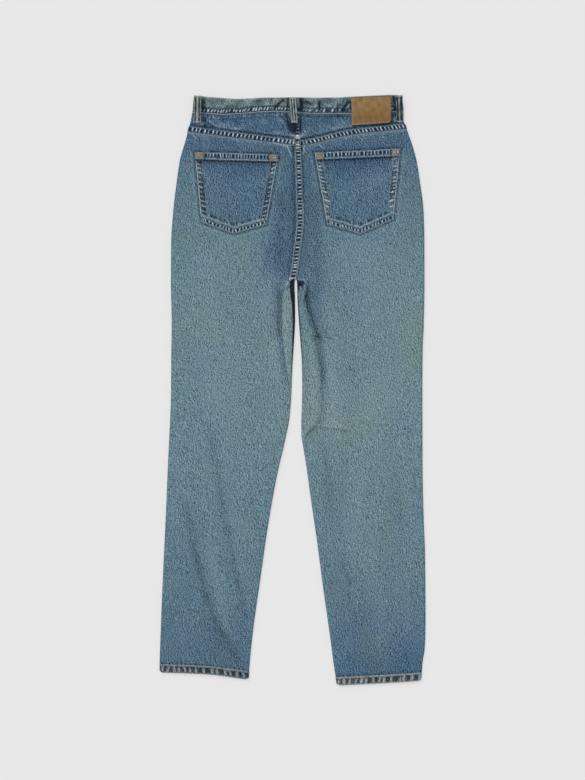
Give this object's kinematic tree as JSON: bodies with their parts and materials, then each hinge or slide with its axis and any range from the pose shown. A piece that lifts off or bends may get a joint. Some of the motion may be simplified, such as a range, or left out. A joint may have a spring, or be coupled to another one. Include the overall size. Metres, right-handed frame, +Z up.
{
  "type": "jeans",
  "caption": "Straight tapered denim jeans laid flat with the back side up, with yoke, patch pockets, waistband and belt loops.",
  "frame": {"origin": "middle of the laid-out garment, on the surface it lies on", "axes": "+Y along the garment towards the waist, +Z up out of the back side, +X towards the wearer's right"},
  "size_m": [0.4919, 1.0913, 0.0172],
  "materials": {
    "denim": "faded blue-grey denim, matte",
    "dark_denim": "less faded blue denim, matte",
    "leather": "worn tan leather, matte",
    "copper": "aged copper, satin"
  },
  "bodies": {
    "root": {"back_leg_left": "denim", "back_leg_right": "denim", "front_leg_left": "denim", "front_leg_right": "denim", "yoke_left": "dark_denim", "yoke_right": "dark_denim", "pocket_facing_left": "dark_denim", "pocket_facing_right": "dark_denim", "back_pocket_left": "dark_denim", "back_pocket_right": "dark_denim", "coin_pocket": "dark_denim", "fly_shield": "dark_denim", "waistband": "denim", "loop_centre_back": "denim", "loop_back_left": "denim", "loop_back_right": "denim", "loop_front_left": "denim", "loop_front_right": "denim", "waist_patch": "leather", "waist_button": "copper", "rivet_waist_left": "copper", "rivet_side_left": "copper", "rivet_waist_right": "copper", "rivet_side_right": "copper"}
  },
  "joints": []
}
